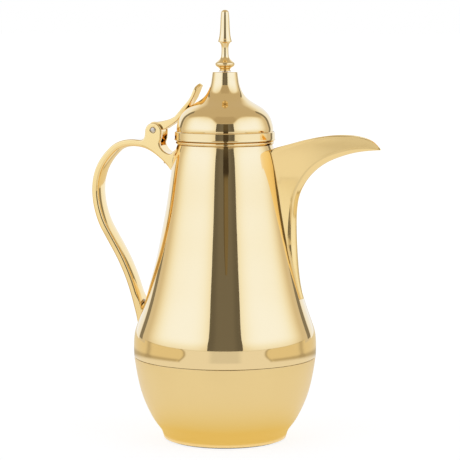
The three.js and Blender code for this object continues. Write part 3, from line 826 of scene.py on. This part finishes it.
def glow_card(name, rows, colour_at):
    """A glowing surface through a grid of points; the camera looks through it."""
    width = len(rows[0])
    vertices = [p for row in rows for p in row]
    faces = [(i * width + j, i * width + j + 1, (i + 1) * width + j + 1, (i + 1) * width + j)
             for i in range(len(rows) - 1) for j in range(width - 1)]
    mesh = bpy.data.meshes.new(name)
    mesh.from_pydata(vertices, [], faces)
    paint = mesh.color_attributes.new("glow", "FLOAT_COLOR", "POINT")
    for i, p in enumerate(vertices):
        paint.data[i].color = (*colour_at(*p), 1)
    m = bpy.data.materials.new(name)
    m.use_nodes = True
    nodes, links = m.node_tree.nodes, m.node_tree.links
    nodes.clear()
    source = nodes.new("ShaderNodeVertexColor")
    source.layer_name = "glow"
    glow = nodes.new("ShaderNodeEmission")
    links.new(source.outputs["Color"], glow.inputs["Color"])
    links.new(glow.outputs["Emission"], nodes.new("ShaderNodeOutputMaterial").inputs["Surface"])
    mesh.materials.append(m)
    card = bpy.data.objects.new(name, mesh)
    bpy.context.scene.collection.objects.link(card)
    card.visible_camera = False
    card.visible_shadow = False
    return card


def ring_point(radius, azimuth, z):
    """The place at a distance from the axis, a bearing in degrees from the camera's side, and a height."""
    a = math.radians(azimuth) + CAMERA_TURN
    return radius * math.sin(a), -radius * math.cos(a), z


def bearing(x, y):
    """Degrees from the camera's side, and the same with the sign left out."""
    a = math.degrees(math.atan2(x, -y)) - math.degrees(CAMERA_TURN)
    a = (a + 180) % 360 - 180
    return a, abs(a)


def dome_row(radius, azimuths, elevation):
    """Points of a dome round the pot at one elevation in degrees."""
    e = math.radians(elevation)
    across = max(1e-4, radius * math.cos(e))
    return [ring_point(across, a, MIDDLE + radius * math.sin(e)) for a in azimuths]


TENT = 1.30                   # radius of the dome that lights the pot from all round
SIDE_BEARING, SIDE_SPREAD = 62, 43      # of the two side lights, in degrees
SIDE_HEIGHT, SIDE_RISE = 22, 25
SIDE_LIGHT = 1.42
CEILING = 0.44
BACK_LIGHT, REAR_LIGHT = 0.60, 1.25     # behind the pot's sides, and straight behind it
# How high the side lights reach, in degrees, at each bearing from the camera.
LIGHT_TOP = [(0, 33), (19, 34), (28, 41), (38, 49), (48, 54.5), (60, 57.5), (75, 56), (90, 50),
             (105, 42), (120, 32), (140, 22), (180, 20)]


def tent_light(x, y, z):
    """Two broad side lights under a dimmer ceiling that darkens in front, with light from behind as well."""
    _, off = bearing(x, y)
    el = math.degrees(math.atan2(z - MIDDLE, math.hypot(x, y)))
    around = math.exp(-((off - SIDE_BEARING) / SIDE_SPREAD)**4 * 0.8)
    lobe = around * math.exp(-((el - SIDE_HEIGHT) / SIDE_RISE)**2 * 0.7)
    top = float(np.interp(off, *zip(*LIGHT_TOP)))
    lobe *= 1 - ramp(el, top - 5 - 0.06 * off, top + 1.5)
    front = (1 - ramp(off, 26, 42)) * ramp(el, 33, 37) * (1 - ramp(el, 58, 66))
    level = CEILING - 0.09 * front + SIDE_LIGHT * lobe
    if off > 100:
        level = max(level, BACK_LIGHT * min(1, max(0, (50 - el) / 20)))
    if off > 136:
        level = max(level, REAR_LIGHT * min(1, max(0, (60 - el) / 25)))
    return light(level)


# The dome's rows lie closest together where the side lights end.
TENT_ROWS = [-7, -4, -2, 0, 2, 4, *range(6, 30, 3), *range(30, 66), *range(66, 91, 3)]
glow_card("tent", [dome_row(TENT, np.arange(-180, 181, 2), el) for el in TENT_ROWS], tent_light)

DARK = (0.18, 0.175, 0.17)
FLAG = (0.25, 0.24, 0.22)


def dark_light(x, y, z):
    """The dark card in front of the pot, darker still towards its sides."""
    _, off = bearing(x, y)
    share = 1.0 - 0.2 * ramp(off, 9, 18)
    return tuple(v * share for v in DARK)


glow_card("dark_card", [dome_row(1.22, np.arange(-21.5, 21.6, 1), el) for el in np.linspace(-3, 34, 14)],
          dark_light)

# A narrow dark card close to the pot, from its top to where it tapers off: height, left and right bearing.
CORE = [(0.2572, -2.8, 5.5), (0.211, -2.8, 5.5), (0.205, -2.2, 4.35), (0.187, -1.9, 4.1),
        (0.167, -1.5, 3.8), (0.152, -0.9, 3.1), (0.129, 0.6, 1.6)]
CORE_RADIUS = 0.065
CORE_HEIGHTS, CORE_LEFT, CORE_RIGHT = zip(*reversed(CORE))
# Its colour in the middle, lower down, at the lower part's left edge, and at the top.
CORE_TINTS = ((0.05, 0.04, 0.03), (0.20, 0.165, 0.105), (0.10, 0.08, 0.055), (0.115, 0.095, 0.065))


def core_light(x, y, z):
    """Dark in the middle of the near card's height, warm below with a dark left edge, lighter at the top."""
    a, _ = bearing(x, y)
    left = float(np.interp(z, CORE_HEIGHTS, CORE_LEFT))
    right = float(np.interp(z, CORE_HEIGHTS, CORE_RIGHT))
    brown = ramp(z, 0.211, 0.203)
    edge = brown * (1 - ramp(a, left, left + 0.3 * (right - left)))
    upper = ramp(z, 0.231, 0.237)
    return tuple(d + (w - d) * brown + (e - w) * edge + (t - d) * upper for d, w, e, t in zip(*CORE_TINTS))


core_rows = []
for upper_row, lower_row in zip(CORE, CORE[1:]):
    for k in range(4):
        z, left, right = (a + (b - a) * k / 4 for a, b in zip(upper_row, lower_row))
        shares = (0, 0.15, 0.3, 0.5, 0.75, 1)
        core_rows.append([ring_point(CORE_RADIUS, left + (right - left) * t, z) for t in shares])
glow_card("core", core_rows, core_light)

# Two narrow dark cards behind the pot's sides.
for side in (-1, 1):
    azimuths = [side * a for a in (126, 129, 132, 135.5)]
    glow_card("flag", [dome_row(1.2, azimuths, el) for el in np.linspace(-5, 45, 10)], lambda x, y, z: FLAG)

# The low lights' colours: in front, at the sides and on their outlines.
LOW_FRONT = (0.87, 0.89, 0.95)
GOLDEN = (0.80, 0.735, 0.57)
OUTLINE = (0.47, 0.42, 0.33)


def low_colour(off, up):
    """A wide low front light between two golden ones, each with a dark rounded outline.

    The bearing is off, either side of the camera's. The height is up: 0 where the lights start on the floor,
    0.5 where they turn up from it, and 1 at their top."""
    side = off - 49.5 - 5.5 * (2 * up - 1)**4
    front = 1 - ramp(side, -1.2, 1.2)
    outline = 0.9 * math.exp(-(side / 1.7)**2) + 0.7 * math.exp(-((off - 106) / 5)**2)
    outline += 0.8 * ramp(side, 0, 5) * ramp(up, 0.10, 0.03) + 0.45 * ramp(up, 0.93, 1.0)
    outline = min(1.0, outline)
    stripe = 1 - 0.16 * (1 - ramp(off, 13, 22))
    return tuple((f * stripe * front + g * (1 - front)) * (1 - outline) + o * outline
                 for f, g, o in zip(LOW_FRONT, GOLDEN, OUTLINE))


LOW_TOP = 0.088               # the low lights stand this high, at this distance from the axis
LOW_RADIUS = 0.70
LOW_START = 0.385             # and go on over the floor, in to this distance
glow_card("low_card", [[ring_point(LOW_RADIUS, a, z) for a in range(-116, 117)]
                       for z in np.linspace(0.0, LOW_TOP, 17)],
          lambda x, y, z: low_colour(bearing(x, y)[1], 0.5 + 0.5 * z / LOW_TOP))

# The floor's light near the foot, with painted gold bounce light closest to the foot, where the pot's own
# gold would light the floor: distance from the axis and colour.
NEAR_LIGHT_AND_PAINTED_BOUNCE = [(0.055, (0.85, 0.72, 0.34)), (0.066, (0.84, 0.79, 0.58)), (0.076, (0.87, 0.845, 0.73)),
              (0.092, (0.87, 0.875, 0.88)), (0.13, LOW_FRONT), (0.25, LOW_FRONT)]
NEAR_RADII, NEAR_AND_BOUNCE_COLOURS = zip(*NEAR_LIGHT_AND_PAINTED_BOUNCE)
FLOOR_RINGS = (0.048, 0.055, 0.066, 0.076, 0.092, 0.13, 0.18, 0.24, 0.30, 0.355, 0.37, 0.385, 0.40, 0.415,
               0.43, 0.46, 0.50, 0.56, 0.62, 0.70, 0.9, 1.3)


def near_bounce_and_low_light(x, y, z):
    """What the pot mirrors of the floor: its near light with the painted gold bounce at the foot, and the low
    lights further out.
    """
    r = math.hypot(x, y)
    _, off = bearing(x, y)
    near = [float(np.interp(r, NEAR_RADII, channel)) for channel in zip(*NEAR_AND_BOUNCE_COLOURS)]
    far = low_colour(off, min(0.5, max(0.0, 0.5 * (r - LOW_START) / (LOW_RADIUS - LOW_START))))
    return tuple(n + (f - n) * ramp(r, LOW_START - 0.03, LOW_START) for f, n in zip(far, near))


# Seen only in the pot's reflections; its gold ring round the foot is painted bounce light.
floor_rows = [[ring_point(r, a, 0.002) for a in range(-180, 181)] for r in FLOOR_RINGS]
floor_glow = glow_card("floor_glow", floor_rows, near_bounce_and_low_light)
floor_glow.visible_diffuse = False

FLOOR_HALF = 60
floor_mesh = bpy.data.meshes.new("floor")
floor_corners = [(x * FLOOR_HALF, y * FLOOR_HALF, 0) for x, y in ((-1, -1), (1, -1), (1, 1), (-1, 1))]
floor_mesh.from_pydata(floor_corners, [], [(0, 1, 2, 3)])
floor = bpy.data.objects.new("floor", floor_mesh)
bpy.context.scene.collection.objects.link(floor)
floor_material = bpy.data.materials.new("floor")
floor_material.use_nodes = True
floor_shader = floor_material.node_tree.nodes["Principled BSDF"]
floor_shader.inputs["Base Color"].default_value = (0.35, 0.34, 0.32, 1)
floor_shader.inputs["Roughness"].default_value = 0.8
floor_shader.inputs["Specular IOR Level"].default_value = 0.0
floor_shader.inputs["Emission Color"].default_value = (0.765, 0.77, 0.775, 1)
floor_shader.inputs["Emission Strength"].default_value = 1.0
floor_mesh.materials.append(floor_material)

world = bpy.data.worlds.new("world")
bpy.context.scene.world = world
world.use_nodes = True
background = world.node_tree.nodes["Background"]
background.inputs["Color"].default_value = (1, 1, 1, 1)
background.inputs["Strength"].default_value = 1.0

# ---------------------------------------------------------------- camera
camera_data = bpy.data.cameras.new("camera")
camera_data.lens = 156.5
camera_data.sensor_width = 36
camera = bpy.data.objects.new("camera", camera_data)
bpy.context.scene.collection.objects.link(camera)
bpy.context.scene.camera = camera
DISTANCE = 1.5
EYE_HEIGHT = 0.3123
AIM_HEIGHT = 0.1583
AIM_ASIDE = 0.00375           # the camera aims this far to the spout's side of the axis
eye = Vector((DISTANCE * math.sin(CAMERA_TURN), -DISTANCE * math.cos(CAMERA_TURN), EYE_HEIGHT))
aim = Vector((AIM_ASIDE * math.cos(CAMERA_TURN), AIM_ASIDE * math.sin(CAMERA_TURN), AIM_HEIGHT))
camera.location = eye
camera.rotation_euler = (aim - eye).to_track_quat("-Z", "Y").to_euler()
scene = bpy.context.scene
scene.view_settings.view_transform = "Standard"
scene.view_settings.look = "None"
